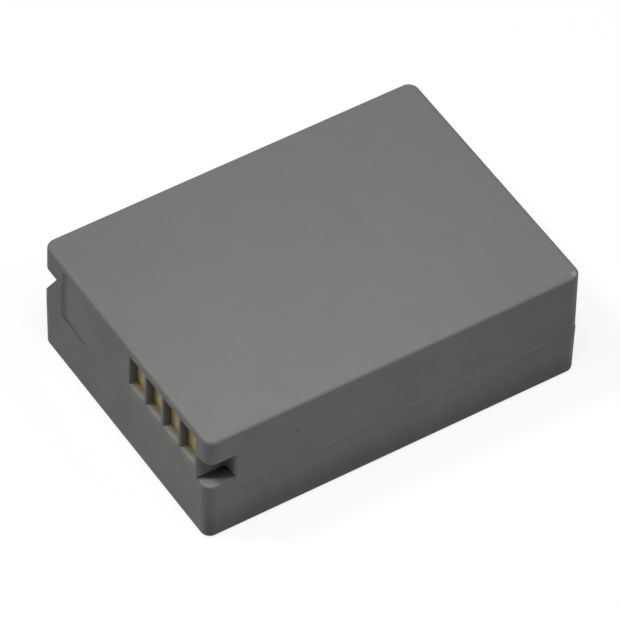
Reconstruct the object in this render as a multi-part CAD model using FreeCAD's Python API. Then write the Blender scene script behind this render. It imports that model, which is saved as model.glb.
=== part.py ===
import FreeCAD, Part
import math
import os

# Rechargeable camera battery: a welded two-piece housing with two sealed cells,
# a protection board and four contact blades behind slots in the front end.
# Millimetres. Origin at the middle of the underside, +Z up, contact end towards -Y.

# Housing
body_width = 32.5
body_length = 45.4
body_height = 14.75
cover_corner_radius = 1.32
tray_corner_radius = 1.2
rim_radius = 0.45
cover_draft_angle = 0.5
tray_draft_angle = 0.9
shell_step = 0.01
cover_height = 8.4

# Housing walls
side_wall = 1.0
rear_wall = 1.0
top_wall = 0.9
bottom_wall = 0.9
cavity_radius = 0.6

# Welded lap joint along the seam
lip_height = 0.8
lip_thickness = 0.45
lip_clearance = 0.04

# Corner notches at the contact end, measured down from the top face
notch_length = 3.38
notch_wall = 0.45
notch_inner_radius = 0.4
latch_notch_depth = 1.89
latch_notch_top = 3.4
latch_notch_height = 3.35
latch_front_radius = 0.35
latch_rear_radius = 0.35
latch_ledge_radius = 0.25
key_notch_depth = 2.9
key_notch_top = 3.1
key_notch_slope = 57.5

# Corner posts of the tray, which stand in pockets of the cover
post_margin = 0.1
parting_gap = 0.01

# Shallow recess in the contact face, with a soft step at its left end, fading out towards the slots
panel_start = 4.1
panel_fade_length = 5.6
panel_depth = 0.27
panel_bend_radius = 1.4
panel_top = 0.75
panel_rise = 0.4
panel_corner_radius = 1.2

# Contact slots, counted from the latch notch
slot_count = 4
slot_width = 2.82
slot_rib = 0.48
slot_row_margin = 0.53
slot_height = 4.12
slot_top = 1.15
slot_mouth_radius = 0.15
slot_depth = 1.05

# Contact blades
plate_thickness = 0.5
plate_overlap_side = 0.07
plate_overlap_end = 0.2
plate_clearance = 0.04
tail_width = 1.2
tail_thickness = 0.4
tail_rise = 1.6
tail_reach = 0.4

# Contact holder
holder_depth = 1.0
holder_side_margin = 0.15
holder_drop = 1.3
holder_pad_height = 0.1
holder_pad_inset = 0.3

# Protection board and the parts soldered to it
board_thickness = 0.8
board_gap = 0.2
hole_clearance = 0.1
chip_width = 3.0
chip_length = 4.4
chip_height = 1.0
chip_spacing = 15.0
chip_rise = 1.6
chip_standoff = 0.1
leg_count = 4
leg_pitch = 0.65
leg_width = 0.3
leg_reach = 0.7
leg_thickness = 0.15
small_part_length = 1.6
small_part_width = 0.8
small_part_pitch = 2.6
small_part_drop = 1.2
end_cap = 0.3
cap_overhang = 0.05
capacitor_height = 0.8
resistor_height = 0.45
thermistor_height = 0.9
sense_length = 3.2
sense_width = 1.6
sense_height = 0.6
sense_rise = 1.2

# Cells
component_room = 2.7
cell_side_gap = 0.25
cell_corner_radius = 2.6
cell_rim_radius = 0.5
lid_margin = 0.6
lid_recess = 0.15
button_diameter = 3.2
gasket_diameter = 4.6
terminal_pad = 3.0

# Cards, tape and foam
spacer_thickness = 0.3
card_thickness = 0.4
card_margin = 0.5
window_clearance = 0.25
window_web = 0.3
tape_thickness = 0.2
pad_thickness = 0.4
rear_pad_thickness = 0.6
pad_margin = 4.0

# Nickel strips and thermal fuse
strap_thickness = 0.15
strap_width = 3.0
strap_fold_radius = 0.12
strap_foot = 1.5
strap_rise = 3.3
sense_tab_width = 1.6
lead_width = 2.0
lead_rise = 2.0
fuse_length = 6.0
fuse_width = 2.8
fuse_thickness = 1.1
fuse_overlap = 0.9
fuse_gap = 0.4
fuse_drop = 4.1

# Distance within which two places count as the same
same_place = 1e-4

# Places worked out from the sizes above
front = -body_length / 2
rear = body_length / 2
left = -body_width / 2
right = body_width / 2
beyond = body_width
ceiling = body_height - top_wall
seam_height = body_height - cover_height
cover_inset = shell_step + (body_height - seam_height) * math.tan(math.radians(cover_draft_angle))
tray_inset = seam_height * math.tan(math.radians(tray_draft_angle))
post_length = notch_length + post_margin
latch_notch_ceiling = body_height - latch_notch_top
latch_notch_floor = latch_notch_ceiling - latch_notch_height
latch_notch_middle = (latch_notch_floor + latch_notch_ceiling) / 2
latch_notch_inner = right - latch_notch_depth
latch_notch_rear = front + notch_length
key_notch_ceiling = body_height - key_notch_top
neck_left = left + panel_start + parting_gap + notch_wall
neck_right = right - latch_notch_depth - post_margin - parting_gap - notch_wall
neck_rear = front + post_length + parting_gap + notch_wall
cavity_left = left + side_wall
cavity_right = right - side_wall
cavity_rear = rear - rear_wall
slot_ceiling = body_height - slot_top
slot_floor = slot_ceiling - slot_height
slot_row_right = right - latch_notch_depth - slot_row_margin
slot_pitch = slot_width + slot_rib
slot_middles = [slot_row_right - slot_width / 2 - slot_pitch * i for i in range(slot_count)]
slot_middles.reverse()
panel_bottom = seam_height + panel_rise
plate_front = front + slot_depth
plate_back = plate_front + plate_thickness
plate_width = slot_width + 2 * plate_overlap_side
tail_level = slot_floor + tail_rise
holder_front = plate_back + holder_pad_height
board_front = holder_front + holder_depth
board_rear = board_front + board_thickness
board_bottom = bottom_wall + board_gap
board_top = ceiling - board_gap
board_middle = (neck_left + neck_right) / 2
card_front = board_rear + component_room
cell_front = card_front + card_thickness
cell_rear = cavity_rear - rear_pad_thickness
cell_bottom = bottom_wall + tape_thickness
cell_top = ceiling - pad_thickness
cell_level = (cell_bottom + cell_top) / 2
cell_width = (cavity_right - cavity_left - spacer_thickness) / 2 - cell_side_gap
cell_offset = (cell_width + spacer_thickness) / 2
left_cell_middle = -cell_offset
right_cell_middle = cell_offset
terminal_pad_offset = gasket_diameter / 2 + 2 * window_clearance + window_web + terminal_pad / 2
strap_front = card_front - strap_thickness
fuse_level = cell_level - fuse_drop
fuse_right = right_cell_middle + terminal_pad_offset - strap_width / 2 - fuse_gap
fuse_left = fuse_right - fuse_length


def vector(x, y, z):
    return FreeCAD.Vector(x, y, z)


def block(x_range, y_range, z_range):
    """Block between two places on each axis."""
    low = vector(min(x_range), min(y_range), min(z_range))
    high = vector(max(x_range), max(y_range), max(z_range))
    size = high - low
    return Part.makeBox(size.x, size.y, size.z, low)


def around(middle, width):
    """Range of a given width about its middle."""
    return (middle - width / 2, middle + width / 2)


def prism(points, direction):
    """Solid swept straight from a flat outline given by its corners."""
    corners = [vector(*point) for point in points]
    return Part.Face(Part.makePolygon(corners + corners[:1])).extrude(vector(*direction))


def near(a, b):
    return abs(a - b) < same_place


def edges_where(shape, test):
    """Edges whose middle point passes a test."""
    chosen = []
    for edge in shape.Edges:
        if test(edge.valueAt((edge.FirstParameter + edge.LastParameter) / 2)):
            chosen.append(edge)
    return chosen


def rounded_outline(width, length, radius, level):
    """Closed outline of a rectangle with round corners, centred on the Z axis."""
    corners = []
    for quarter, (side, end) in enumerate([(1, 1), (-1, 1), (-1, -1), (1, -1)]):
        centre = vector(side * (width / 2 - radius), end * (length / 2 - radius), level)
        start = 90 * quarter
        corners.append(Part.makeCircle(radius, centre, vector(0, 0, 1), start, start + 90))
    edges = []
    for corner, following in zip(corners, corners[1:] + corners[:1]):
        run = Part.makeLine(corner.Vertexes[-1].Point, following.Vertexes[0].Point)
        edges += [corner, run]
    return Part.Wire(edges)


def housing_block(low, high, low_inset, high_inset, radius):
    """Length of the housing between two levels, drawn in by an inset at each."""
    outlines = []
    for level, inset in ((low, low_inset), (high, high_inset)):
        width = body_width - 2 * inset
        length = body_length - 2 * inset
        outlines.append(rounded_outline(width, length, radius - inset, level))
    return Part.makeLoft(outlines, True, True)


def cavity(low, high):
    """Room inside the housing: a wide part for the cells and a neck between the corner notches."""
    cells = block((cavity_left, cavity_right), (neck_rear, cavity_rear), (low, high))
    corners = edges_where(cells, lambda p: near(p.y, cavity_rear) and near(p.z, (low + high) / 2))
    cells = cells.makeFillet(cavity_radius, corners)
    neck = block((neck_left, neck_right), (holder_front, neck_rear + cavity_radius), (low, high))
    return cells.fuse(neck)


def latch_notch():
    """Square-cut notch in the front right corner."""
    notch = block((latch_notch_inner, beyond), (front - beyond, latch_notch_rear),
                  (latch_notch_floor, latch_notch_ceiling))
    corner = edges_where(notch, lambda p: near(p.x, latch_notch_inner) and near(p.y, latch_notch_rear))
    return notch.makeFillet(notch_inner_radius, corner)


def soften_notch(shape):
    """Rounds the two upright edges at the mouth of the latch notch."""
    front_edge = edges_where(shape, lambda p: near(p.x, latch_notch_inner)
                             and p.y < front + cover_corner_radius and near(p.z, latch_notch_middle))
    shape = shape.makeFillet(latch_front_radius, front_edge)
    rear_edge = edges_where(shape, lambda p: near(p.y, latch_notch_rear)
                            and p.x > right - cover_corner_radius and near(p.z, latch_notch_middle))
    return shape.makeFillet(latch_rear_radius, rear_edge)


def soften_ledge(shape):
    """Rounds the outer edge of the post under the latch notch."""
    edge = edges_where(shape, lambda p: near(p.z, latch_notch_floor)
                       and (p.x > right - tray_corner_radius / 2 or p.y < front + tray_corner_radius / 2))
    return shape.makeFillet(latch_ledge_radius, edge)


def key_notch():
    """Notch in the front left corner with a level ceiling and a steep ramp for a floor."""
    drop = (key_notch_depth + beyond) * math.tan(math.radians(key_notch_slope))
    start = front - beyond
    profile = [(left + key_notch_depth, start, key_notch_ceiling),
               (left - beyond, start, key_notch_ceiling),
               (left - beyond, start, key_notch_ceiling - drop)]
    return prism(profile, (0, beyond + notch_length, 0))


def contact_panel():
    """Hollow taken out of the contact face: an S-shaped step of two equal bends, then a gentle run-out."""
    middle = left + panel_start
    turn = math.acos(1 - panel_depth / (2 * panel_bend_radius))
    half_run = panel_bend_radius * math.sin(turn)
    up = vector(0, 0, 1)
    bend = math.degrees(turn)
    outer_centre = vector(middle - half_run, front + panel_bend_radius, panel_bottom)
    outer = Part.makeCircle(panel_bend_radius, outer_centre, up, 270, 270 + bend)
    inner_centre = vector(middle + half_run, front + panel_depth - panel_bend_radius, panel_bottom)
    inner = Part.makeCircle(panel_bend_radius, inner_centre, up, 90, 90 + bend)
    panel_end = middle + half_run + panel_fade_length
    run = [vector(middle + half_run, front + panel_depth, panel_bottom),
           vector(panel_end, front, panel_bottom),
           vector(panel_end, front - beyond, panel_bottom),
           vector(middle - half_run, front - beyond, panel_bottom),
           vector(middle - half_run, front, panel_bottom)]
    outline = Part.Wire(Part.__sortEdges__([outer, inner] + Part.makePolygon(run).Edges))
    panel_ceiling = body_height - panel_top
    hollow = Part.Face(outline).extrude(vector(0, 0, panel_ceiling - panel_bottom))
    window = block((middle - half_run, panel_end), (front - beyond, front + beyond),
                   (panel_bottom, panel_ceiling))
    corners = edges_where(window, lambda p: near(p.x, middle - half_run)
                          and (near(p.z, panel_bottom) or near(p.z, panel_ceiling)))
    return hollow.common(window.makeFillet(panel_corner_radius, corners))


def slot(middle):
    """Opening of one slot, and the pocket behind it that holds the blade."""
    opening = block(around(middle, slot_width), (front - beyond, plate_front), (slot_floor, slot_ceiling))
    reach = plate_overlap_end + plate_clearance
    pocket = block(around(middle, plate_width + 2 * plate_clearance), (plate_front, holder_front),
                   (slot_floor - reach, slot_ceiling + reach))
    return opening.fuse(pocket)


def soften_slots(shape):
    """Rounds the edges of the slots where they open into the contact face."""
    half = slot_width / 2
    slot_level = (slot_floor + slot_ceiling) / 2

    def at_mouth(p):
        if p.y > front + cover_inset or p.z > slot_ceiling + same_place or p.z < slot_floor - same_place:
            return False
        upright = near(p.z, slot_level) and any(near(abs(p.x - middle), half) for middle in slot_middles)
        return upright or any(near(p.x, middle) for middle in slot_middles)

    return shape.makeFillet(slot_mouth_radius, edges_where(shape, at_mouth))


def posts(clearance):
    """Room of the two corner posts above the seam, grown sideways by a clearance."""
    y_range = (front - beyond, front + post_length + clearance)
    latch_side = right - latch_notch_depth - post_margin - clearance
    latch_post = block((latch_side, beyond), y_range, (seam_height, latch_notch_floor))
    key_side = left + panel_start + clearance
    key_post = block((-beyond, key_side), y_range, (seam_height, key_notch_ceiling))
    return [latch_post, key_post]


def lip(grow, height):
    """Band along the sides and the rear of the cavity, standing on the seam."""
    side = lip_thickness + grow
    band = block((cavity_left - side, cavity_right + side), (neck_rear, cavity_rear + side),
                 (seam_height, seam_height + height))
    corners = edges_where(band, lambda p: near(p.y, cavity_rear + side)
                          and near(p.z, seam_height + height / 2))
    return band.makeFillet(cavity_radius, corners)


def make_upper_shell():
    """Cover: roof, walls down to the seam, slots, recess and both notches."""
    shape = housing_block(seam_height, body_height, shell_step, cover_inset, cover_corner_radius)
    shape = shape.makeFillet(rim_radius, edges_where(shape, lambda p: near(p.z, body_height)))
    shape = soften_notch(shape.cut(latch_notch()))
    shape = shape.cut([key_notch(), contact_panel()] + posts(parting_gap))
    shape = shape.cut([cavity(seam_height, ceiling), lip(lip_clearance, lip_height + lip_clearance)])
    return soften_slots(shape.cut([slot(middle) for middle in slot_middles]))


def make_lower_shell():
    """Tray: floor, walls up to the seam, welding lip and two corner posts."""
    shape = housing_block(0, seam_height, tray_inset, 0, tray_corner_radius)
    shape = shape.makeFillet(rim_radius, edges_where(shape, lambda p: near(p.z, 0)))
    column = housing_block(seam_height, key_notch_ceiling, 0, 0, tray_corner_radius)
    shape = shape.fuse([column.common(post) for post in posts(0)] + [lip(0, lip_height)])
    shape = shape.cut([cavity(bottom_wall, body_height), latch_notch(), key_notch(), contact_panel()])
    return soften_ledge(shape)


def make_contact_plate(middle):
    """Gold plated blade at the back of a slot, with a tail that reaches through the board."""
    blade = block(around(middle, plate_width), (plate_front, plate_back),
                  (slot_floor - plate_overlap_end, slot_ceiling + plate_overlap_end))
    tail = block(around(middle, tail_width), (plate_back, board_rear + tail_reach),
                 around(tail_level, tail_thickness))
    return blade.fuse(tail)


def tail_holes(y_range):
    """Holes for the tails of the blades."""
    holes = []
    for middle in slot_middles:
        holes.append(block(around(middle, tail_width + 2 * hole_clearance), y_range,
                           around(tail_level, tail_thickness + 2 * hole_clearance)))
    return holes


def make_contact_holder():
    """Moulded block whose pads press the blades into their pockets."""
    top = ceiling - board_gap
    left_end = slot_middles[0] - plate_width / 2 - holder_side_margin
    shape = block((left_end, neck_right), (holder_front, board_front), (slot_floor - holder_drop, top))
    pads = []
    for middle in slot_middles:
        pads.append(block(around(middle, plate_width - 2 * holder_pad_inset), (plate_back, holder_front),
                          (slot_floor, top - holder_pad_inset)))
    return shape.fuse(pads).cut(tail_holes((plate_back, board_front))).removeSplitter()


def make_protection_board():
    """Upright circuit board across the neck of the housing."""
    shape = block((neck_left + board_gap, neck_right - board_gap), (board_front, board_rear),
                  (board_bottom, board_top))
    return shape.cut(tail_holes((board_front, board_rear)))


def make_chip(middle):
    """Eight-legged chip on the rear of the board, its legs bent down to the board."""
    level = board_bottom + chip_rise + chip_width / 2
    body = block(around(middle, chip_length), (board_rear + chip_standoff, board_rear + chip_height),
                 around(level, chip_width))
    shoulder = board_rear + chip_height / 2
    first = level - leg_pitch * (leg_count - 1) / 2
    legs = []
    for i in range(leg_count):
        z_range = around(first + leg_pitch * i, leg_width)
        for side in (-1, 1):
            root = middle + side * chip_length / 2
            knee = root + side * leg_reach / 2
            tip = root + side * leg_reach
            legs.append(block((root, knee), (shoulder - leg_thickness, shoulder), z_range))
            legs.append(block((knee - side * leg_thickness, knee), (board_rear, shoulder), z_range))
            legs.append(block((knee - side * leg_thickness, tip), (board_rear, board_rear + leg_thickness),
                              z_range))
    return body.fuse(legs).removeSplitter()


def make_small_part(middle, level, length, width, height):
    """Part with a metal cap on each end, flat on the rear of the board."""
    shape = block(around(middle, length - end_cap),
                  (board_rear + cap_overhang, board_rear + height - cap_overhang),
                  around(level, width - 2 * cap_overhang))
    for side in (-1, 1):
        outer = middle + side * length / 2
        cap = block((outer - side * end_cap, outer), (board_rear, board_rear + height),
                    around(level, width))
        shape = shape.fuse(cap)
    return shape


def make_row_part(place, height):
    """One of the small parts in the row near the top edge of the board, counted from its middle."""
    return make_small_part(board_middle + small_part_pitch * place, board_top - small_part_drop,
                           small_part_length, small_part_width, height)


def make_sense_resistor():
    """Wide resistor low in the middle of the board."""
    return make_small_part(board_middle, board_bottom + sense_rise, sense_length, sense_width, sense_height)


def make_cell(middle):
    """Sealed can with a sunk lid, a round terminal in its gasket and a flat welding pad."""
    can = block(around(middle, cell_width), (cell_front, cell_rear), (cell_bottom, cell_top))
    half_way = (cell_front + cell_rear) / 2
    can = can.makeFillet(cell_corner_radius, edges_where(can, lambda p: near(p.y, half_way)))
    can = can.makeFillet(cell_rim_radius, edges_where(can, lambda p: near(p.y, cell_rear)))
    seat = cell_front + lid_recess
    lid = block(around(middle, cell_width - 2 * lid_margin), (cell_front, seat),
                (cell_bottom + lid_margin, cell_top - lid_margin))
    lid_corners = edges_where(lid, lambda p: near(p.y, (cell_front + seat) / 2))
    can = can.cut(lid.makeFillet(cell_corner_radius - lid_margin, lid_corners))
    along = vector(0, 1, 0)
    button = Part.makeCylinder(button_diameter / 2, seat - card_front,
                               vector(middle, card_front, cell_level), along)
    gasket = Part.makeCylinder(gasket_diameter / 2, lid_recess,
                               vector(middle, cell_front, cell_level), along)
    pad = block(around(middle + terminal_pad_offset, terminal_pad), (card_front, seat),
                around(cell_level, terminal_pad))
    return can.fuse([button, gasket, pad])


def make_terminal_card():
    """Insulating card over both lids, with a window for each terminal."""
    shape = block((cavity_left + card_margin, cavity_right - card_margin), (card_front, cell_front),
                  (cell_bottom, cell_top))
    windows = []
    for middle in (left_cell_middle, right_cell_middle):
        windows.append(Part.makeCylinder(gasket_diameter / 2 + window_clearance, card_thickness,
                                         vector(middle, card_front, cell_level), vector(0, 1, 0)))
        side = terminal_pad + 2 * window_clearance
        windows.append(block(around(middle + terminal_pad_offset, side), (card_front, cell_front),
                             around(cell_level, side)))
    return shape.cut(windows)


def folded_strap(middle, width, low, high):
    """Strip that runs up the terminal card, folds forward and ends in a foot on the board."""
    under = high - strap_thickness
    foot_rear = board_rear + strap_thickness
    start = middle - width / 2
    profile = [(start, card_front, low), (start, card_front, high), (start, board_rear, high),
               (start, board_rear, high - strap_foot), (start, foot_rear, high - strap_foot),
               (start, foot_rear, under), (start, strap_front, under), (start, strap_front, low)]
    strip = prism(profile, (width, 0, 0))
    folds = edges_where(strip, lambda p: near(p.z, high) and near(p.x, middle))
    return strip.makeFillet(strap_fold_radius, folds)


def make_negative_strap():
    """Strip from the left cell's button to the board."""
    return folded_strap(left_cell_middle, strap_width, cell_level - strap_width / 2,
                        cell_level + strap_rise)


def make_bridge_strap():
    """Bar that joins the two cells, with a narrow tab to the board."""
    bar = block((left_cell_middle + terminal_pad_offset - terminal_pad / 2,
                 right_cell_middle + button_diameter / 2),
                (strap_front, card_front), around(cell_level, strap_width))
    tab = folded_strap(left_cell_middle + terminal_pad_offset, sense_tab_width, cell_level,
                       cell_level + strap_rise)
    return bar.fuse(tab).removeSplitter()


def make_positive_strap():
    """Angled strip from the right cell's pad down to the thermal fuse."""
    pad_middle = right_cell_middle + terminal_pad_offset
    arm_range = around(fuse_level, lead_width)
    leg = block(around(pad_middle, strap_width), (strap_front, card_front),
                (arm_range[0], cell_level + terminal_pad / 2))
    arm = block((fuse_right - fuse_overlap, pad_middle), (strap_front, card_front), arm_range)
    return leg.fuse(arm).removeSplitter()


def make_thermal_fuse():
    """Flat thermal cut-out lying across the ends of two strips."""
    return block((fuse_left, fuse_right), (strap_front - fuse_thickness, strap_front),
                 around(fuse_level, fuse_width))


def make_fuse_lead():
    """Strip from the thermal fuse to the board."""
    arm_range = around(fuse_level, lead_width)
    arm = block((board_middle - lead_width / 2, fuse_left + fuse_overlap), (strap_front, card_front),
                arm_range)
    riser = folded_strap(board_middle, lead_width, arm_range[0], fuse_level + lead_rise)
    return arm.fuse(riser).removeSplitter()


def make_cell_spacer():
    """Card between the flat sides of the cells."""
    return block(around(0, spacer_thickness), (cell_front, cell_rear - cell_rim_radius),
                 (cell_bottom + cell_corner_radius, cell_top - cell_corner_radius))


def make_flat_pad(z_range):
    """Sheet across both cells, under them or over them."""
    half_width = cell_offset + cell_width / 2 - pad_margin
    return block((-half_width, half_width), (cell_front + pad_margin, cell_rear - pad_margin), z_range)


def make_rear_pad():
    """Foam strip between the cells and the rear wall."""
    half_width = cell_offset + cell_width / 2 - pad_margin
    return block((-half_width, half_width), (cell_rear, cavity_rear),
                 (cell_bottom + pad_margin, cell_top - pad_margin))


pieces = {
    "upper_shell": make_upper_shell(),
    "lower_shell": make_lower_shell(),
    "contact_holder": make_contact_holder(),
    "protection_board": make_protection_board(),
    "protection_chip": make_chip(board_middle - chip_spacing / 2),
    "switch_chip": make_chip(board_middle + chip_spacing / 2),
    "sense_resistor": make_sense_resistor(),
    "capacitor_1": make_row_part(-2, capacitor_height),
    "capacitor_2": make_row_part(-1, capacitor_height),
    "resistor_1": make_row_part(0, resistor_height),
    "resistor_2": make_row_part(1, resistor_height),
    "thermistor": make_row_part(2, thermistor_height),
    "left_cell": make_cell(left_cell_middle),
    "right_cell": make_cell(right_cell_middle),
    "terminal_card": make_terminal_card(),
    "cell_spacer": make_cell_spacer(),
    "negative_strap": make_negative_strap(),
    "bridge_strap": make_bridge_strap(),
    "positive_strap": make_positive_strap(),
    "thermal_fuse": make_thermal_fuse(),
    "fuse_lead": make_fuse_lead(),
    "bottom_tape": make_flat_pad((bottom_wall, cell_bottom)),
    "top_pad": make_flat_pad((cell_top, ceiling)),
    "rear_pad": make_rear_pad(),
}
for number, slot_middle in enumerate(slot_middles, 1):
    pieces[f"contact_plate_{number}"] = make_contact_plate(slot_middle)

os.makedirs("parts", exist_ok=True)
for name, piece in pieces.items():
    piece.exportStep(f"parts/{name}.step")
    print(f"{name}: {len(piece.Solids)} solid, {piece.Volume:.2f} cubic mm, valid {piece.isValid()}")
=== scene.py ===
import math
from collections import namedtuple

import bpy
from mathutils import Matrix, Vector


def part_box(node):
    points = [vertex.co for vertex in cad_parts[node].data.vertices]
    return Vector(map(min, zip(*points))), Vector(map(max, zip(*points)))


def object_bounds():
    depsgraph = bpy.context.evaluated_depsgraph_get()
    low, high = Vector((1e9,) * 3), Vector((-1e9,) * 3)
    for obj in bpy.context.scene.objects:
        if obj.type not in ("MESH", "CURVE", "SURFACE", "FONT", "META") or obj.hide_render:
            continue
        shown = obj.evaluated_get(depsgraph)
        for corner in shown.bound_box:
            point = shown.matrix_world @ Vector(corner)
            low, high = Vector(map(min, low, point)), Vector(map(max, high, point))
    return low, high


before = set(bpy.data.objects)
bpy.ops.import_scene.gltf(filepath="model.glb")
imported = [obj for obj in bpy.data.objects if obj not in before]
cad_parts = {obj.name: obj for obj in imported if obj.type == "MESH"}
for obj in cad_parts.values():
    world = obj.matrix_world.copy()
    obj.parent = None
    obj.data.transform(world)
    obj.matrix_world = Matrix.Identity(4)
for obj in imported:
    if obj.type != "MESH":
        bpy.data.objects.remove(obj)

# Charcoal camera battery with slotted gold contacts, lying on a white table.
# Metres. The object's own frame: origin at the middle of the underside, +Z up,
# contact end towards -Y.

cad_low, cad_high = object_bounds()
MM = 0.001
low = {name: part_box(name)[0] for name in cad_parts}
high = {name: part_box(name)[1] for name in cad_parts}


def middle_of(name, axis):
    """Middle of a CAD node's box along one axis."""
    return (low[name][axis] + high[name][axis]) / 2


# Camera: the way it looks at the battery, and its lens
VIEW_AZIMUTH = 56.327
VIEW_ELEVATION = 47.920
VIEW_ROLL = 1.948
VIEW_DISTANCE = 676.391 * MM
VIEW_TARGET = Vector((0.330, -0.275, 7.165)) * MM
IMAGE_WIDTH = 620
FOCAL_PIXELS = 6537.32
AXIS_OFFSET_PIXELS = 0.5
SENSOR_WIDTH = 36.0
NEAREST_SEEN = 10.0 * MM
FARTHEST_SEEN = 10.0

# Lamps: azimuth, elevation, distance, size, and the share of full white that each gives.
# The full level is the power, over distance squared, that shows a white surface as white.
FULL_LEVEL = math.pi ** 2
LAMPS = {
    "key_lamp": (-31.0, 60.0, 0.60, 0.10, 0.334),
    "top_lamp": (60.0, 75.0, 0.60, 0.25, 0.468),
    "back_lamp": (130.0, 45.0, 0.60, 0.25, 0.167),
}
WORLD_LEVEL = 0.0

# Table: its size, what it gives back to the battery, and how it looks by itself
FLOOR_HALF_WIDTH = 1.5
FLOOR_DROP = 0.02 * MM
FLOOR_BOUNCE = 0.30
FLOOR_GLOW = 0.80
FLOOR_SHADE = 0.25

# Housing: size and seam
HOUSING_MIDDLE = tuple((a + b) / 2 for a, b in zip(cad_low, cad_high))
HOUSING_HALF = tuple((b - a) / 2 for a, b in zip(cad_low, cad_high))
SEAM_HEIGHT = low["upper_shell"][2]
SEAM_START = -19.2 * MM

# Contact slots, in front of the middles of the gold blades
BLADE_COVERED_SIDE = 0.07 * MM
BLADE_COVERED_END = 0.2 * MM
FIRST_SLOT = middle_of("contact_plate_1", 0)
SLOT_PITCH = middle_of("contact_plate_2", 0) - FIRST_SLOT
SLOT_COUNT = 4
SLOT_HALF_WIDTH = high["contact_plate_1"][0] - FIRST_SLOT - BLADE_COVERED_SIDE
SLOT_FLOOR = low["contact_plate_1"][2] + BLADE_COVERED_END
SLOT_CEILING = high["contact_plate_1"][2] - BLADE_COVERED_END
SLOT_REACH = 3.0 * MM

# Latch notch in the front right corner, and the shallow recess left of the slots
NOTCH_LENGTH = 3.38 * MM
NOTCH_DEPTH = 1.89 * MM
NOTCH_LEDGE = 8.0 * MM
NOTCH_HEIGHT = 3.35 * MM
RECESS_STEP = SEAM_HEIGHT + 0.4 * MM
RECESS_REACH = 0.6 * MM

# Welded strips and circuit board
STRAP_HALF_WIDTH = 1.5 * MM
WELD_SPREAD = 0.7 * MM
WELD_RADIUS = 0.4 * MM
TRACK_PITCH = 0.9 * MM
TRACK_RUN = 3.1 * MM
TRACK_SHARE = 0.6
TRACK_EDGE = (0.18, 0.24)
WEAVE_SCALE = 500.0

# Housing plastic: colours and finish
COVER_COLOR = (0.200, 0.203, 0.195)
# The tray is the cover's plastic, painted a little darker as painted shade on the lower shell
TRAY_COLOR = (0.197, 0.200, 0.192)
HOUSING_ROUGHNESS = (0.56, 0.65)
HOUSING_SPECULAR = 0.30
HOUSING_GRAIN = 0.16 * MM
HOUSING_CLOUD = 3.5 * MM
HOUSING_RELIEF = 0.008 * MM

# Housing plastic: painted light and shade, where it is painted lighter and darker
FRONT_RIGHT_WEIGHT = 0.5
TONE_REACH = 1.8
TONE_DARK = 0.92
TONE_LIGHT = 1.12
CORNER_LINE = (0.55, 0.83)
CORNER_START = 6.0 * MM
CORNER_END = 28.0 * MM
CORNER_SHARE = 0.4
CORNER_DARK = 0.80

# Wear and dust on the housing, and the places of its painted light and shade
EDGE_ROOM = 0.1 * MM
RUB_WIDTH = 0.5 * MM
RUB_PATCH = 2.5 * MM
RUB_BREAKS = (0.42, 0.62)
RUB_GLOSS = 0.08
DUST_SPACING = 2.5 * MM
DUST_SHARE = 0.16
DUST_EDGE = (0.03, 0.06)
WALL_EDGE = (-0.9 * MM, -0.25 * MM)
SEAM_PATCH = 4.0 * MM
SEAM_BREAKS = (0.3, 0.6)
SEAM_FAINTEST = 0.5
# Painted highlight above the seam and painted shadow line below it: height above the seam, half width
SEAM_LINES = {"Bright Line": (0.18 * MM, 0.18 * MM), "Dark Line": (-0.30 * MM, 0.40 * MM)}
# Painted shade low on the walls and towards the rear end
LOW_SHADE = (0.6 * MM, 5.3 * MM)
REAR_SHADE = (14.0 * MM, 22.5 * MM)
REAR_SHADE_SHARE = 0.2
SLOT_SIDE = (-0.05, 0.01)
# Painted light on the slot sills
SILL_DROP = 1.9 * MM
SILL_DEPTH = (0.35 * MM, 0.65 * MM)
SILL_LEFT = (0.05, 0.50, 0.25, 1.0)
SILL_RIGHT = (0.55, 1.0, 1.0, 0.35)
SLOT_TINT_DEPTH = (0.35 * MM, 0.75 * MM)
# Painted shade inside the slots
SLOT_SHADE_DEPTH = (0.15 * MM, 0.95 * MM)
# Painted light on the gold blades
LIT_RISE = 2.3 * MM
LIT_SIDE = (0.05, 0.40)
# Painted shadow on the notch ledge
LEDGE_SHADOW_REACH = (0.80, 1.10)
LEDGE_FAR_SHADOW = (0.7 * MM, 2.2 * MM)
LEDGE_FAR_SHADOW_SHARE = 0.5
LEDGE_ROOM = 0.2 * MM
# Painted shade along the recess step
STEP_HEIGHT = (0.05 * MM, 0.15 * MM)
STEP_DEPTH = (0.03 * MM, 0.08 * MM)

# Single marks on the housing: place and radius
SIDE_SCUFF = Vector((16.25, -11.96, 10.87)) * MM
SIDE_SCUFF_RADIUS = 0.38 * MM
TOP_SPECK = Vector((-10.95, 14.90, 14.75)) * MM
TOP_SPECK_RADIUS = 0.16 * MM
# Painted highlight on the rear right top corner
CORNER_GLINT = Vector((15.65, 21.80, 14.65)) * MM
CORNER_GLINT_RADIUS = 0.45 * MM
MARK_CORE = 0.4
MARK_RAGGEDNESS = 6000.0
MARK_SWING = (0.7, 1.4)

# Colours of wear, of painted highlights and painted light, of metals and of inner parts
RUBBED_PLASTIC = (0.33, 0.33, 0.32)
# Painted highlight on the rear right top corner
GLINT_COLOR = (0.40, 0.40, 0.38)
PALE_DUST = (0.42, 0.41, 0.39)
SCUFF_COLOR = (0.05, 0.05, 0.055)
SPECK_COLOR = (0.08, 0.08, 0.11)
SLOT_TINT = (0.205, 0.168, 0.086)
GOLD_DEEP = (0.46, 0.38, 0.20)
GOLD_PALE = (0.54, 0.45, 0.24)
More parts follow.
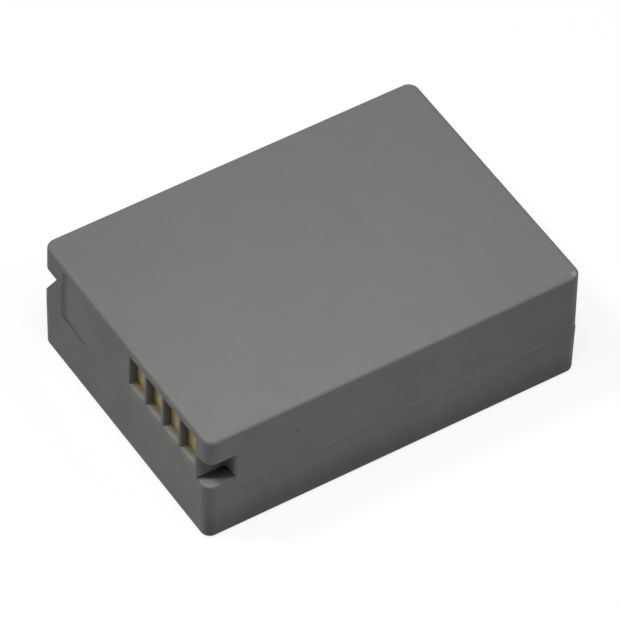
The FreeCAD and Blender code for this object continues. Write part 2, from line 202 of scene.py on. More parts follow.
# Painted light on the gold
GOLD_LIT = (0.95, 0.78, 0.42)
NICKEL_DEEP = (0.55, 0.54, 0.51)
NICKEL_PALE = (0.68, 0.67, 0.63)
WELD_COLOR = (0.33, 0.29, 0.24)
SOLDER_COLOR = (0.60, 0.60, 0.58)
CAP_COLOR = (0.72, 0.72, 0.70)
LEG_COLOR = (0.70, 0.70, 0.68)
CAN_COLOR = (0.60, 0.61, 0.62)
DRAWN_LINES = (0.42, 0.43, 0.44)
GASKET_COLOR = (0.03, 0.03, 0.03)
BOARD_COLOR = (0.020, 0.110, 0.055)
WEAVE_COLOR = (0.045, 0.19, 0.09)
TRACK_COLOR = (0.060, 0.250, 0.110)
CHIP_COLOR = (0.022, 0.022, 0.024)
SENSE_RESISTOR_COLOR = (0.035, 0.035, 0.040)
THERMISTOR_COLOR = (0.10, 0.16, 0.11)
CAPACITOR_COLOR = (0.36, 0.24, 0.14)
RESISTOR_COLOR = (0.030, 0.030, 0.032)
HOLDER_COLOR = (0.018, 0.018, 0.018)
TERMINAL_CARD_COLOR = (0.42, 0.40, 0.33)
SPACER_COLOR = (0.40, 0.38, 0.32)
FUSE_COLOR = (0.045, 0.043, 0.040)
TAPE_COLOR = (0.50, 0.30, 0.05)
FOAM_COLOR = (0.020, 0.020, 0.021)

# Effects on the housing, in the order in which they are laid: the share of each, and its
# tone, which is either a share of the housing's own colour or another colour. Several are painted
# light and shade, as marked.
HOUSING_EFFECTS = {
    "clouds": (0.06, 0.55),
    # painted shade low on the walls and towards the rear end
    "side_shade": (0.92, 0.48),
    # painted highlight and painted shadow line along the seam
    "seam_highlight": (0.42, 1.45),
    "seam_shade": (0.14, 0.60),
    # painted shadow on the notch ledge
    "notch_ledge_shadow": (0.85, 0.12),
    # painted light on the notch walls
    "notch_wall_light": (0.40, 1.90),
    # painted shade on the recess step
    "recess_step_shade": (0.70, 0.50),
    # painted light on the slot sills
    "slot_sill_light": (0.60, 1.60),
    # painted shade inside the slots
    "slot_shade": (0.55, 0.25),
    "slot_tint": (0.75, SLOT_TINT),
    "rubbed_edges": (0.08, RUBBED_PLASTIC),
    # painted highlight on the rear right top corner
    "corner_highlight": (0.55, GLINT_COLOR),
    "dust": (0.18, PALE_DUST),
    "side_scuff": (0.42, SCUFF_COLOR),
    "top_speck": (0.45, SPECK_COLOR),
}


def direction(azimuth, elevation):
    """Unit vector from the object towards a place given by two angles in degrees."""
    a = math.radians(azimuth)
    e = math.radians(elevation)
    return Vector((math.sin(a) * math.cos(e), -math.cos(a) * math.cos(e), math.sin(e)))


def add_camera():
    """Camera that looks down on the front right corner, turned a little about its own axis."""
    azimuth = math.radians(VIEW_AZIMUTH)
    back = direction(VIEW_AZIMUTH, VIEW_ELEVATION)
    right = Vector((math.cos(azimuth), math.sin(azimuth), 0))
    up = back.cross(right)
    turn = Matrix.Rotation(math.radians(VIEW_ROLL), 4, back)
    axes_of_view = Matrix((right, up, back)).transposed().to_4x4()
    bpy.ops.object.camera_add()
    camera = bpy.context.object
    camera.name = "camera"
    camera.matrix_world = Matrix.Translation(VIEW_TARGET + back * VIEW_DISTANCE) @ turn @ axes_of_view
    camera.data.sensor_width = SENSOR_WIDTH
    camera.data.lens = SENSOR_WIDTH * FOCAL_PIXELS / IMAGE_WIDTH
    camera.data.shift_x = -AXIS_OFFSET_PIXELS / IMAGE_WIDTH
    camera.data.shift_y = AXIS_OFFSET_PIXELS / IMAGE_WIDTH
    camera.data.clip_start = NEAREST_SEEN
    camera.data.clip_end = FARTHEST_SEEN
    bpy.context.scene.camera = camera


def add_lamp(name, azimuth, elevation, distance, size, level):
    """Square soft box that lights a facing white surface to a share of full white."""
    place = direction(azimuth, elevation)
    bpy.ops.object.light_add(type="AREA", location=place * distance)
    lamp = bpy.context.object
    lamp.name = name
    lamp.rotation_euler = place.to_track_quat("Z", "Y").to_euler()
    lamp.data.size = size
    lamp.data.energy = level * FULL_LEVEL * distance ** 2
    return lamp


def put(tree, kind, inputs=None, **settings):
    """New node with its settings, constants and links."""
    node = tree.nodes.new(kind)
    for key, value in settings.items():
        setattr(node, key, value)
    for key, value in (inputs or {}).items():
        if isinstance(value, bpy.types.NodeSocket):
            tree.links.new(value, node.inputs[key])
        else:
            node.inputs[key].default_value = value
    return node


def math_node(tree, operation, first, second=0.0):
    """Result of an arithmetic step."""
    return put(tree, "ShaderNodeMath", {0: first, 1: second}, operation=operation).outputs[0]


def vector_node(tree, operation, first, second=(0.0, 0.0, 0.0)):
    """Result of a step on positions."""
    return put(tree, "ShaderNodeVectorMath", {0: first, 1: second}, operation=operation).outputs[0]


def added(tree, first, second):
    """Sum of two values."""
    return math_node(tree, "ADD", first, second)


def less(tree, first, second):
    """One value less another."""
    return math_node(tree, "SUBTRACT", first, second)


def product(tree, first, *others):
    """Values multiplied together."""
    for other in others:
        first = math_node(tree, "MULTIPLY", first, other)
    return first


def above(tree, value, limit):
    """Mask that is 1 where a value passes a limit."""
    return math_node(tree, "GREATER_THAN", value, limit)


def below(tree, value, limit):
    """Mask that is 1 where a value stays under a limit."""
    return math_node(tree, "LESS_THAN", value, limit)


def away(tree, value, middle):
    """Distance of a value from a middle."""
    return math_node(tree, "ABSOLUTE", less(tree, value, middle))


def length_of(tree, first, second):
    """Long side of a right triangle."""
    squares = added(tree, product(tree, first, first), product(tree, second, second))
    return math_node(tree, "SQRT", squares)


def axes(tree, place):
    """The three parts of a position."""
    return put(tree, "ShaderNodeSeparateXYZ", {"Vector": place}).outputs


def stretch(tree, value, from_low, from_high, to_low=0.0, to_high=1.0):
    """Value carried from one range to another with soft ends."""
    return put(tree, "ShaderNodeMapRange",
               {"Value": value, "From Min": from_low, "From Max": from_high,
                "To Min": to_low, "To Max": to_high}, interpolation_type="SMOOTHSTEP").outputs["Result"]


def fade(tree, value, start, end):
    """Mask that falls softly from 1 at a start to 0 at an end."""
    return stretch(tree, value, start, end, 1.0, 0.0)


def noise(tree, place, scale, detail, roughness=0.5):
    """Cloudy noise between 0 and 1."""
    return put(tree, "ShaderNodeTexNoise",
               {"Vector": place, "Scale": scale, "Detail": detail, "Roughness": roughness}).outputs["Fac"]


def seen_directly(tree):
    """Mask that is 1 for what the camera sees, also in a mirror or through glass."""
    path = tree.nodes.new("ShaderNodeLightPath")
    both = math_node(tree, "MAXIMUM", path.outputs["Is Camera Ray"], path.outputs["Is Glossy Ray"])
    return math_node(tree, "MAXIMUM", both, path.outputs["Is Transmission Ray"])


def light_the_world():
    """White to the camera and in reflections, a plain level for all other light."""
    world = bpy.data.worlds.new("studio")
    bpy.context.scene.world = world
    world.use_nodes = True
    tree = world.node_tree
    tree.nodes.clear()
    plain = put(tree, "ShaderNodeBackground", {"Color": (1, 1, 1, 1), "Strength": WORLD_LEVEL})
    white = put(tree, "ShaderNodeBackground", {"Color": (1, 1, 1, 1), "Strength": 1.0})
    mix = put(tree, "ShaderNodeMixShader",
              {0: seen_directly(tree), 1: plain.outputs[0], 2: white.outputs[0]})
    put(tree, "ShaderNodeOutputWorld", {"Surface": mix.outputs[0]})


def add_floor():
    """White table under the battery, which keeps its shadow."""
    bpy.ops.object.select_all(action="DESELECT")
    bpy.ops.mesh.primitive_plane_add(size=2 * FLOOR_HALF_WIDTH, location=(0, 0, -FLOOR_DROP))
    floor = bpy.context.object
    floor.name = "floor"
    material = bpy.data.materials.new("white_table")
    material.use_nodes = True
    tree = material.node_tree
    tree.nodes.clear()
    glow = put(tree, "ShaderNodeEmission", {"Strength": FLOOR_GLOW})
    shade = put(tree, "ShaderNodeBsdfDiffuse", {"Color": (*[FLOOR_SHADE] * 3, 1)})
    seen = put(tree, "ShaderNodeAddShader", {0: glow.outputs[0], 1: shade.outputs[0]})
    bounce = put(tree, "ShaderNodeBsdfDiffuse", {"Color": (*[FLOOR_BOUNCE] * 3, 1)})
    mix = put(tree, "ShaderNodeMixShader",
              {0: seen_directly(tree), 1: bounce.outputs[0], 2: seen.outputs[0]})
    put(tree, "ShaderNodeOutputMaterial", {"Surface": mix.outputs[0]})
    floor.data.materials.append(material)
    return floor


def new_group(name, inputs, outputs):
    """Empty node group with named sockets: tree, input sockets, output node."""
    tree = bpy.data.node_groups.new(name, "ShaderNodeTree")
    kinds = {"vector": "NodeSocketVector", "value": "NodeSocketFloat"}
    for label, kind, value in inputs:
        socket = tree.interface.new_socket(label, in_out="INPUT", socket_type=kinds[kind])
        if value is not None:
            socket.default_value = value
    for label in outputs:
        tree.interface.new_socket(label, in_out="OUTPUT", socket_type=kinds["value"])
    return tree, tree.nodes.new("NodeGroupInput").outputs, tree.nodes.new("NodeGroupOutput")


def give(tree, result, **values):
    """Joins values to a group's outputs; underscores in the names stand for spaces."""
    for key, value in values.items():
        tree.links.new(value, result.inputs[key.replace("_", " ")])


def make_grain():
    """Moulded or cast surface: fine grain as a height, cloudy tone at a larger scale."""
    tree, given, result = new_group(
        "surface_grain",
        [("Coordinates", "vector", None), ("Grain Size", "value", 0.15 * MM),
         ("Cloud Size", "value", 4.0 * MM)],
        ["Height", "Tone"])
    fine_share = 0.4
    tones = (0.3, 0.7)
    grain_scale = math_node(tree, "DIVIDE", 1.0, given["Grain Size"])
    cloud_scale = math_node(tree, "DIVIDE", 1.0, given["Cloud Size"])
    fine = noise(tree, given["Coordinates"], grain_scale, detail=3.0, roughness=0.6)
    cloud = noise(tree, given["Coordinates"], cloud_scale, detail=4.0, roughness=0.55)
    mixed = added(tree, product(tree, fine, fine_share), product(tree, cloud, 1 - fine_share))
    give(tree, result, Height=fine, Tone=stretch(tree, mixed, *tones))
    return tree


def make_specks():
    """Sparse dust: a mask of small round specks."""
    tree, given, result = new_group(
        "dust_specks",
        [("Coordinates", "vector", None), ("Spacing", "value", 2.0 * MM), ("Share", "value", 0.25)],
        ["Mask"])
    scale = math_node(tree, "DIVIDE", 1.0, given["Spacing"])
    cells = put(tree, "ShaderNodeTexVoronoi", {"Vector": given["Coordinates"], "Scale": scale}).outputs
    spot = fade(tree, cells["Distance"], *DUST_EDGE)
    pick = put(tree, "ShaderNodeSeparateColor", {"Color": cells["Color"]}).outputs[0]
    give(tree, result, Mask=product(tree, spot, below(tree, pick, given["Share"])))
    return tree


def make_edge_rub():
    """Rubbed edges of a box: a broken mask along the lines where two of its faces meet."""
    tree, given, result = new_group(
        "edge_rub",
        [("Coordinates", "vector", None), ("Middle", "vector", (0, 0, 0)),
         ("Half Size", "vector", (10.0 * MM, 10.0 * MM, 10.0 * MM)), ("Width", "value", RUB_WIDTH)],
        ["Mask"])
    from_middle = vector_node(tree, "SUBTRACT", given["Coordinates"], given["Middle"])
    inside = vector_node(tree, "SUBTRACT", vector_node(tree, "ABSOLUTE", from_middle), given["Half Size"])
    x, y, z = axes(tree, inside)
    edge = math_node(tree, "MINIMUM", x, y)
    for first, second in ((y, z), (x, z)):
        edge = math_node(tree, "MAXIMUM", edge, math_node(tree, "MINIMUM", first, second))
    line = stretch(tree, edge, product(tree, given["Width"], -1.0), 0.0)
    patches = noise(tree, given["Coordinates"], 1 / RUB_PATCH, detail=3.0)
    give(tree, result, Mask=product(tree, line, stretch(tree, patches, *RUB_BREAKS)))
    return tree


def make_side_shading():
    """Long sides and rear: masks of a painted highlight and a painted shadow line along the welded
    seam, and of painted shade low on the walls and towards the rear end.
    """
    tree, given, result = new_group(
        "side_shading",
        [("Coordinates", "vector", None), ("Seam", "value", SEAM_HEIGHT)],
        ["Bright Line", "Dark Line", "Grime"])
    x, y, z = axes(tree, given["Coordinates"])
    past_side = less(tree, math_node(tree, "ABSOLUTE", x), HOUSING_HALF[0])
    past_rear = less(tree, y, HOUSING_HALF[1])
    on_wall = stretch(tree, math_node(tree, "MAXIMUM", past_side, past_rear), *WALL_EDGE)
    patches = noise(tree, given["Coordinates"], 1 / SEAM_PATCH, detail=3.0)
    broken = stretch(tree, patches, *SEAM_BREAKS, SEAM_FAINTEST, 1.0)
    seam = product(tree, on_wall, broken, above(tree, y, SEAM_START))
    rise = less(tree, z, given["Seam"])
    # Painted highlight above the seam and painted shadow line below it
    for label, (middle, half) in SEAM_LINES.items():
        line = fade(tree, away(tree, rise, middle), 0.0, half)
        tree.links.new(product(tree, line, seam), result.inputs[label])
    # Painted shade: darker low on the walls and towards the rear end
    low_down = fade(tree, z, *LOW_SHADE)
    rear_end = stretch(tree, y, *REAR_SHADE, 0.0, REAR_SHADE_SHARE)
    painted_shade = math_node(tree, "MAXIMUM", low_down, rear_end)
    give(tree, result, Grime=product(tree, painted_shade, on_wall))
    return tree


def make_slot_shading_and_tint():
    """Contact slots: masks of painted shade inside them, of painted light on the sill, of the gold's
    tint on that sill, and of painted light on the lower and left part of each blade."""
    tree, given, result = new_group(
        "slot_shading_and_tint", [("Coordinates", "vector", None)], ["Grime", "Sill", "Tint", "Wiped"])
    x, y, z = axes(tree, given["Coordinates"])
    deep = added(tree, y, HOUSING_HALF[1])
    turns = product(tree, less(tree, x, FIRST_SLOT - SLOT_PITCH / 2), 1 / SLOT_PITCH)
    in_row = product(tree, above(tree, turns, 0.0), below(tree, turns, float(SLOT_COUNT)),
                     below(tree, deep, SLOT_REACH))
    across = math_node(tree, "FRACT", turns)
    side = [SLOT_HALF_WIDTH / SLOT_PITCH + room for room in SLOT_SIDE]
    in_slot = product(tree, in_row, fade(tree, away(tree, across, 0.5), *side))
    up_to_sill = below(tree, z, SLOT_FLOOR + EDGE_ROOM)
    from_sill = above(tree, z, SLOT_FLOOR - EDGE_ROOM)
    # Painted light on each slot's sill, fading at its left and right sides
    sill = product(tree, stretch(tree, z, SLOT_FLOOR - SILL_DROP, SLOT_FLOOR - EDGE_ROOM), up_to_sill,
                   stretch(tree, across, *SILL_LEFT), stretch(tree, across, *SILL_RIGHT),
                   fade(tree, deep, *SILL_DEPTH), in_slot)
    tint = product(tree, stretch(tree, deep, *SLOT_TINT_DEPTH), up_to_sill, from_sill, in_row)
    # Painted light on the lower part and the left side of each gold blade
    low_down = fade(tree, z, SLOT_FLOOR + EDGE_ROOM, SLOT_FLOOR + LIT_RISE)
    beside = fade(tree, across, *LIT_SIDE)
    lit_blade = added(tree, product(tree, low_down, 0.5), product(tree, beside, 0.5))
    # Painted shade deeper in the left half of each slot
    painted_shade = product(tree, stretch(tree, deep, *SLOT_SHADE_DEPTH), from_sill,
                    below(tree, z, SLOT_CEILING + EDGE_ROOM), below(tree, across, 0.5), in_row)
    give(tree, result, Grime=painted_shade, Sill=sill, Tint=tint, Wiped=lit_blade)
    return tree


def make_ledge_shading():
    """Latch notch and recess: masks of painted shadow on the notch's ledge, of painted light on its
    walls, and of painted shade along the recess's lower step."""
    tree, given, result = new_group(
        "ledge_shading", [("Coordinates", "vector", None)], ["Ledge", "Walls", "Step"])
    x, y, z = axes(tree, given["Coordinates"])
    from_front = added(tree, y, HOUSING_HALF[1])
    from_side = less(tree, HOUSING_HALF[0], x)
    in_notch = product(tree, below(tree, from_front, NOTCH_LENGTH + EDGE_ROOM),
                       below(tree, from_side, NOTCH_DEPTH + EDGE_ROOM))
    # Painted shadow on the inner part of the notch's ledge, and fainter painted shadow farther back
    reach = added(tree, product(tree, from_front, 1 / NOTCH_LENGTH),
                  product(tree, from_side, 1 / NOTCH_DEPTH))
    inner = stretch(tree, reach, *LEDGE_SHADOW_REACH)
    farther = product(tree, stretch(tree, from_front, *LEDGE_FAR_SHADOW), LEDGE_FAR_SHADOW_SHARE)
    on_ledge = below(tree, away(tree, z, NOTCH_LEDGE), LEDGE_ROOM)
    ledge = product(tree, math_node(tree, "MAXIMUM", inner, farther), on_ledge, in_notch)
    # Painted light on the notch's walls
    rise = less(tree, z, NOTCH_LEDGE)
    walls = product(tree, above(tree, rise, LEDGE_ROOM), below(tree, rise, NOTCH_HEIGHT - EDGE_ROOM),
                    in_notch)
    # Painted shade along the recess's lower step
    step = product(tree, fade(tree, away(tree, z, RECESS_STEP), *STEP_HEIGHT),
                   below(tree, from_front, RECESS_REACH), stretch(tree, from_front, *STEP_DEPTH),
                   below(tree, x, 0.0))
    give(tree, result, Ledge=ledge, Walls=walls, Step=step)
    return tree


def make_mark():
    """One small mark with a ragged outline, at a given place."""
    tree, given, result = new_group(
        "small_mark",
        [("Coordinates", "vector", None), ("Place", "vector", (0, 0, 0)), ("Radius", "value", 0.2 * MM)],
        ["Mask"])
    far = put(tree, "ShaderNodeVectorMath", {0: given["Coordinates"], 1: given["Place"]},
              operation="DISTANCE").outputs["Value"]
    ragged = noise(tree, given["Coordinates"], MARK_RAGGEDNESS, detail=2.0)
    reach = product(tree, far, stretch(tree, ragged, 0.3, 0.7, *MARK_SWING))
    core = product(tree, given["Radius"], MARK_CORE)
    give(tree, result, Mask=fade(tree, reach, core, given["Radius"]))
    return tree


def make_brushing():
    """Long fine scratches along one axis: a height and a tone."""
    tree, given, result = new_group(
        "brushed_lines",
        [("Coordinates", "vector", None), ("Stretch", "vector", (200, 9000, 9000))],
        ["Height", "Tone"])
    place = vector_node(tree, "MULTIPLY", given["Coordinates"], given["Stretch"])
    tones = (0.35, 0.65)
    lines = noise(tree, place, 1.0, detail=4.0)
    give(tree, result, Height=lines, Tone=stretch(tree, lines, *tones))
    return tree


GRAIN = make_grain()
SPECKS = make_specks()
EDGE_RUB = make_edge_rub()
SIDE_SHADING = make_side_shading()
SLOT_SHADING_AND_TINT = make_slot_shading_and_tint()
LEDGE_SHADING = make_ledge_shading()
MARK = make_mark()
BRUSHING = make_brushing()

Look = namedtuple("Look", "material tree shader place")


def new_look(name):
    """New material with its tree, its shader and its object coordinates."""
    material = bpy.data.materials.new(name)
    material.use_nodes = True
    tree = material.node_tree
    place = tree.nodes.new("ShaderNodeTexCoord").outputs["Object"]
    return Look(material, tree, tree.nodes["Principled BSDF"], place)


def use(look, group, **inputs):
    """Places a shared group in a look; underscores in the input names stand for spaces."""
    node = look.tree.nodes.new("ShaderNodeGroup")
    node.node_tree = group
    look.tree.links.new(look.place, node.inputs["Coordinates"])
    for key, value in inputs.items():
        node.inputs[key.replace("_", " ")].default_value = value
    return node.outputs


def feed(look, **values):
    """Sets or joins the shader's sockets; underscores in the names stand for spaces."""
    for key, value in values.items():
        socket = look.shader.inputs[key.replace("_", " ")]
        if isinstance(value, bpy.types.NodeSocket):
            look.tree.links.new(value, socket)
        else:
            socket.default_value = value


def blend(tree, mask, first, second):
    """Colour between two others."""
    node = tree.nodes.new("ShaderNodeMix")
    node.data_type = "RGBA"
    for key, value in {0: mask, 6: first, 7: second}.items():
        if isinstance(value, bpy.types.NodeSocket):
            tree.links.new(value, node.inputs[key])
        else:
            node.inputs[key].default_value = (*value, 1)
    return node.outputs[2]


def scaled(color, share):
    """Colour made lighter or darker."""
    return tuple(part * share for part in color)


def bump(look, height, depth):
    """Relief of a given depth in metres on the shader's normal."""
    node = put(look.tree, "ShaderNodeBump", {"Height": height, "Distance": depth})
    feed(look, Normal=node.outputs[0])


def painted_light_falloff(look, color):
    """Painted light and shade: colour that lightens towards the front right of the case and darkens at
    its other corners.
    """
    tree = look.tree
    x, y, _ = axes(tree, look.place)
    across = product(tree, x, 1 / HOUSING_HALF[0])
    along = product(tree, y, -FRONT_RIGHT_WEIGHT / HOUSING_HALF[1])
    mask = stretch(tree, added(tree, across, along), -TONE_REACH, TONE_REACH)
    tone = blend(tree, mask, scaled(color, TONE_DARK), scaled(color, TONE_LIGHT))
    beside = added(tree, product(tree, x, CORNER_LINE[0]), product(tree, y, CORNER_LINE[1]))
    corners = stretch(tree, math_node(tree, "ABSOLUTE", beside), CORNER_START, CORNER_END,
                      0.0, CORNER_SHARE)
    return blend(tree, corners, tone, scaled(color, CORNER_DARK))


def housing_plastic(name, color):
    """Charcoal moulded plastic: fine grain, cloudy tone, rubbed edges, dust and small marks, over
    painted light and shade: a painted fall-off across the case, a painted highlight and shadow line
    at the seam, painted shade and light in the notch, the recess and the slots, and a painted
    highlight on one corner.
    """
    look = new_look(name)
    tree = look.tree
    grain = use(look, GRAIN, Grain_Size=HOUSING_GRAIN, Cloud_Size=HOUSING_CLOUD)
    rub = use(look, EDGE_RUB, Middle=HOUSING_MIDDLE, Half_Size=HOUSING_HALF, Width=RUB_WIDTH)["Mask"]
    sides = use(look, SIDE_SHADING, Seam=SEAM_HEIGHT)
    slots = use(look, SLOT_SHADING_AND_TINT)
    ledges = use(look, LEDGE_SHADING)
    masks = {
        "clouds": grain["Tone"],
        "side_shade": sides["Grime"],
        "seam_highlight": sides["Bright Line"],
        "seam_shade": sides["Dark Line"],
        "notch_ledge_shadow": ledges["Ledge"],
        "notch_wall_light": ledges["Walls"],
        "recess_step_shade": ledges["Step"],
        "slot_sill_light": slots["Sill"],
        "slot_shade": slots["Grime"],
        "slot_tint": slots["Tint"],
        "rubbed_edges": rub,
        "corner_highlight": use(look, MARK, Place=CORNER_GLINT, Radius=CORNER_GLINT_RADIUS)["Mask"],
        "dust": use(look, SPECKS, Spacing=DUST_SPACING, Share=DUST_SHARE)["Mask"],
        "side_scuff": use(look, MARK, Place=SIDE_SCUFF, Radius=SIDE_SCUFF_RADIUS)["Mask"],
        "top_speck": use(look, MARK, Place=TOP_SPECK, Radius=TOP_SPECK_RADIUS)["Mask"],
    }
    # Painted light and shade across the case, under all the other effects
    shade = painted_light_falloff(look, color)
    for effect, (share, tone) in HOUSING_EFFECTS.items():
        laid = tone if isinstance(tone, tuple) else scaled(color, tone)
        shade = blend(tree, product(tree, masks[effect], share), shade, laid)
    rough = stretch(tree, grain["Tone"], 0.0, 1.0, *HOUSING_ROUGHNESS)
    rough = less(tree, rough, product(tree, rub, RUB_GLOSS))
    feed(look, Base_Color=shade, Roughness=rough, Specular_IOR_Level=HOUSING_SPECULAR)
    bump(look, grain["Height"], HOUSING_RELIEF)
    return look.material


def contact_gold(name):
    """Dull gold plating with faint wipe marks, painted light on the lower and left part of each blade,
    and tinned tails.
    """
    look = new_look(name)
    tree = look.tree
    roughness = (0.40, 0.52)
    relief = 0.004 * MM
    tail_start = high["protection_board"][1] - 0.05 * MM
    lines = use(look, BRUSHING, Stretch=(9000, 9000, 500))
    color = blend(tree, lines["Tone"], GOLD_DEEP, GOLD_PALE)
    # Painted light on the lower and left part of each blade
    color = blend(tree, use(look, SLOT_SHADING_AND_TINT)["Wiped"], color, GOLD_LIT)
    tail = above(tree, axes(tree, look.place)[1], tail_start)
    color = blend(tree, tail, color, SOLDER_COLOR)
    feed(look, Base_Color=color, Metallic=0.45,
         Roughness=stretch(tree, lines["Tone"], 0.0, 1.0, *roughness))
    bump(look, lines["Height"], relief)
    return look.material


def cloudy(name, color, roughness, grain_size=0.10 * MM, cloud_size=2.0 * MM, contrast=0.25,
           relief=0.006 * MM):
    """Even finish with its own grain and cloudy tone: the look and its colour."""
    look = new_look(name)
    grain = use(look, GRAIN, Grain_Size=grain_size, Cloud_Size=cloud_size)
    tone = blend(look.tree, grain["Tone"], scaled(color, 1 - contrast), scaled(color, 1 + contrast))
    spread = 0.06
    rough = stretch(look.tree, grain["Tone"], 0.0, 1.0, roughness - spread, roughness + spread)
    feed(look, Base_Color=tone, Roughness=rough)
    bump(look, grain["Height"], relief)
    return look, tone


def plain_finish(name, color, roughness, **values):
    """Material with nothing but the even finish."""
    return cloudy(name, color, roughness, **values)[0].material


def with_metal(look, tone, mask, metal, roughness):
    """Adds a metal region to an even finish."""
    plain = look.shader.inputs["Roughness"].links[0].from_socket
    mixed = put(look.tree, "ShaderNodeMix", {0: mask, 2: plain, 3: roughness}).outputs[0]
    feed(look, Base_Color=blend(look.tree, mask, tone, metal), Metallic=mask, Roughness=mixed)
    return look.material


def capped(name, node, color, roughness):
    """Ceramic part with a tinned cap at each end."""
    cap = 0.3 * MM
    cap_roughness = 0.32
    look, tone = cloudy(name, color, roughness, grain_size=0.06 * MM, cloud_size=0.4 * MM,
                        contrast=0.15, relief=0.003 * MM)
    half = (high[node][0] - low[node][0]) / 2 - cap
    ends = above(look.tree, away(look.tree, axes(look.tree, look.place)[0], middle_of(node, 0)), half)
    return with_metal(look, tone, ends, CAP_COLOR, cap_roughness)


def chip_material(name, node):
    """Black moulded chip with tinned legs."""
    body_length = 4.4 * MM
    leg_roughness = 0.30
    look, tone = cloudy(name, CHIP_COLOR, roughness=0.48, grain_size=0.04 * MM, cloud_size=0.8 * MM,
                        contrast=0.20, relief=0.003 * MM)
    from_middle = away(look.tree, axes(look.tree, look.place)[0], middle_of(node, 0))
    legs = above(look.tree, from_middle, body_length / 2)
    return with_metal(look, tone, legs, LEG_COLOR, leg_roughness)


def cell_material(name, node):
    """Drawn aluminium can with a dark gasket round its terminal."""
    look, tone = cloudy(name, CAN_COLOR, roughness=0.34, grain_size=0.05 * MM, cloud_size=3.0 * MM,
                        contrast=0.06, relief=0.002 * MM)
    tree = look.tree
    button_radius = 1.65 * MM
    gasket_radius = 2.32 * MM
    lid_depth = 0.6 * MM
    drawn_share = 0.25
    lines = use(look, BRUSHING, Stretch=(4000, 250, 4000))
    x, y, z = axes(tree, look.place)
    far = length_of(tree, less(tree, x, middle_of(node, 0)), less(tree, z, middle_of(node, 2)))
    gasket = product(tree, above(tree, far, button_radius), below(tree, far, gasket_radius),
                     below(tree, y, low[node][1] + lid_depth))
    drawn = blend(tree, product(tree, lines["Tone"], drawn_share), tone, DRAWN_LINES)
    feed(look, Base_Color=blend(tree, gasket, drawn, GASKET_COLOR), Metallic=less(tree, 1.0, gasket))
    return look.material


def board_material(name):
    """Green circuit board: woven glass and broken copper tracks under a glossy mask."""
    look, tone = cloudy(name, BOARD_COLOR, roughness=0.36, grain_size=0.08 * MM, cloud_size=3.0 * MM,
                        contrast=0.15, relief=0.003 * MM)
    tree = look.tree
    weave_share = 0.35
    weave_height = 0.15
    track_share = 0.8
    track_relief = 0.025 * MM
    weave, cross = [put(tree, "ShaderNodeTexWave",
                        {"Vector": look.place, "Scale": WEAVE_SCALE, "Distortion": 1.0},
                        wave_type="BANDS", bands_direction=axis).outputs["Fac"] for axis in "XZ"]
    woven = product(tree, weave, cross)
    color = blend(tree, product(tree, woven, weave_share), tone, WEAVE_COLOR)
    x, _, z = axes(tree, look.place)
    row = product(tree, z, 1 / TRACK_PITCH)
    run = product(tree, x, 1 / TRACK_RUN)
    cell = put(tree, "ShaderNodeCombineXYZ",
               {0: math_node(tree, "FLOOR", run), 1: math_node(tree, "FLOOR", row)}).outputs[0]
    drawn = put(tree, "ShaderNodeTexWhiteNoise", {"Vector": cell}, noise_dimensions="3D").outputs["Value"]
    off_line = away(tree, math_node(tree, "FRACT", row), 0.5)
    track = product(tree, below(tree, drawn, TRACK_SHARE), fade(tree, off_line, *TRACK_EDGE))
    color = blend(tree, product(tree, track, track_share), color, TRACK_COLOR)
    feed(look, Base_Color=color, Coat_Weight=0.4, Coat_Roughness=0.15)
    bump(look, added(tree, product(tree, woven, weave_height), track), track_relief)
    return look.material


def weld_spots(tree, place):
    """Mask of the two round weld dimples over each cell terminal."""
    x, _, z = axes(tree, place)
    terminals = (
        middle_of("left_cell", 0),
        low["bridge_strap"][0] + STRAP_HALF_WIDTH,
        middle_of("right_cell", 0),
        high["positive_strap"][0] - STRAP_HALF_WIDTH,
    )
    nearest = 1.0
    for terminal in terminals:
        nearest = math_node(tree, "MINIMUM", away(tree, x, terminal), nearest)
    rise = less(tree, away(tree, z, middle_of("left_cell", 2)), WELD_SPREAD)
    return fade(tree, length_of(tree, nearest, rise), WELD_RADIUS / 2, WELD_RADIUS)


def nickel(name):
    """Rolled nickel strip with weld dimples over the terminals and tinned feet on the board."""
    look = new_look(name)
    tree = look.tree
    roughness = (0.26, 0.38)
    weld_share = 0.7
    line_height = 0.06
    weld_relief = 0.050 * MM
    foot_end = high["protection_board"][1] + 0.25 * MM
    lines = use(look, BRUSHING, Stretch=(300, 6000, 6000))
    welds = weld_spots(tree, look.place)
    foot = below(tree, axes(tree, look.place)[1], foot_end)
    color = blend(tree, lines["Tone"], NICKEL_DEEP, NICKEL_PALE)
    color = blend(tree, product(tree, welds, weld_share), color, WELD_COLOR)
    color = blend(tree, foot, color, SOLDER_COLOR)
    feed(look, Base_Color=color, Metallic=1.0,
         Roughness=stretch(tree, lines["Tone"], 0.0, 1.0, *roughness))
    bump(look, less(tree, product(tree, lines["Height"], line_height), welds), weld_relief)
    return look.material


def card_finish(name, color):
    """Pressed fibre card."""
    return plain_finish(name, color, roughness=0.72, grain_size=0.18 * MM, cloud_size=1.5 * MM,
                        contrast=0.12)


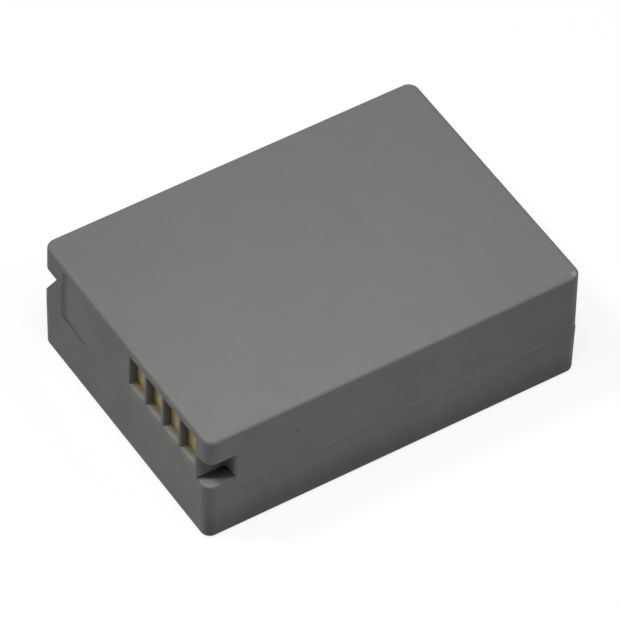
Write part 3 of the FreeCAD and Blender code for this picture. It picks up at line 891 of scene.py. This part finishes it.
def make_materials():
    """Material of each CAD node, by name."""
    chosen = {
        "upper_shell": housing_plastic("cover_plastic_look", COVER_COLOR),
        "lower_shell": housing_plastic("tray_plastic_look", TRAY_COLOR),
        "contact_holder": plain_finish("holder_plastic_look", HOLDER_COLOR, roughness=0.52),
        "protection_board": board_material("circuit_board_look"),
        "protection_chip": chip_material("protection_chip_look", "protection_chip"),
        "switch_chip": chip_material("switch_chip_look", "switch_chip"),
        "terminal_card": card_finish("insulating_card_look", TERMINAL_CARD_COLOR),
        "cell_spacer": card_finish("spacer_card_look", SPACER_COLOR),
        "thermal_fuse": plain_finish("fuse_case_look", FUSE_COLOR, roughness=0.45,
                                     grain_size=0.06 * MM, cloud_size=1.2 * MM, contrast=0.20),
        "bottom_tape": plain_finish("adhesive_tape_look", TAPE_COLOR, roughness=0.28,
                                    grain_size=0.10 * MM, cloud_size=3.0 * MM, contrast=0.15),
        "left_cell": cell_material("left_cell_look", "left_cell"),
        "right_cell": cell_material("right_cell_look", "right_cell"),
    }
    for name, color, roughness in (
            ("sense_resistor", SENSE_RESISTOR_COLOR, 0.42),
            ("thermistor", THERMISTOR_COLOR, 0.42),
            ("capacitor_1", CAPACITOR_COLOR, 0.40),
            ("capacitor_2", CAPACITOR_COLOR, 0.40),
            ("resistor_1", RESISTOR_COLOR, 0.38),
            ("resistor_2", RESISTOR_COLOR, 0.38)):
        chosen[name] = capped(f"{name}_look", name, color, roughness)
    strip = nickel("nickel_strip_look")
    for name in ("negative_strap", "bridge_strap", "positive_strap", "fuse_lead"):
        chosen[name] = strip
    foam = plain_finish("foam_rubber_look", FOAM_COLOR, roughness=0.88, grain_size=0.25 * MM,
                        cloud_size=1.0 * MM, contrast=0.45, relief=0.080 * MM)
    for name in ("top_pad", "rear_pad"):
        chosen[name] = foam
    gold = contact_gold("gold_plating_look")
    for number in range(1, SLOT_COUNT + 1):
        chosen[f"contact_plate_{number}"] = gold
    return chosen


def dress():
    """Gives each CAD node its material."""
    for name, material in make_materials().items():
        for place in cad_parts[name].material_slots:
            place.material = material


bpy.context.scene.view_settings.view_transform = "Standard"
add_camera()
for lamp_name, lamp in LAMPS.items():
    add_lamp(lamp_name, *lamp)
light_the_world()
add_floor()
dress()
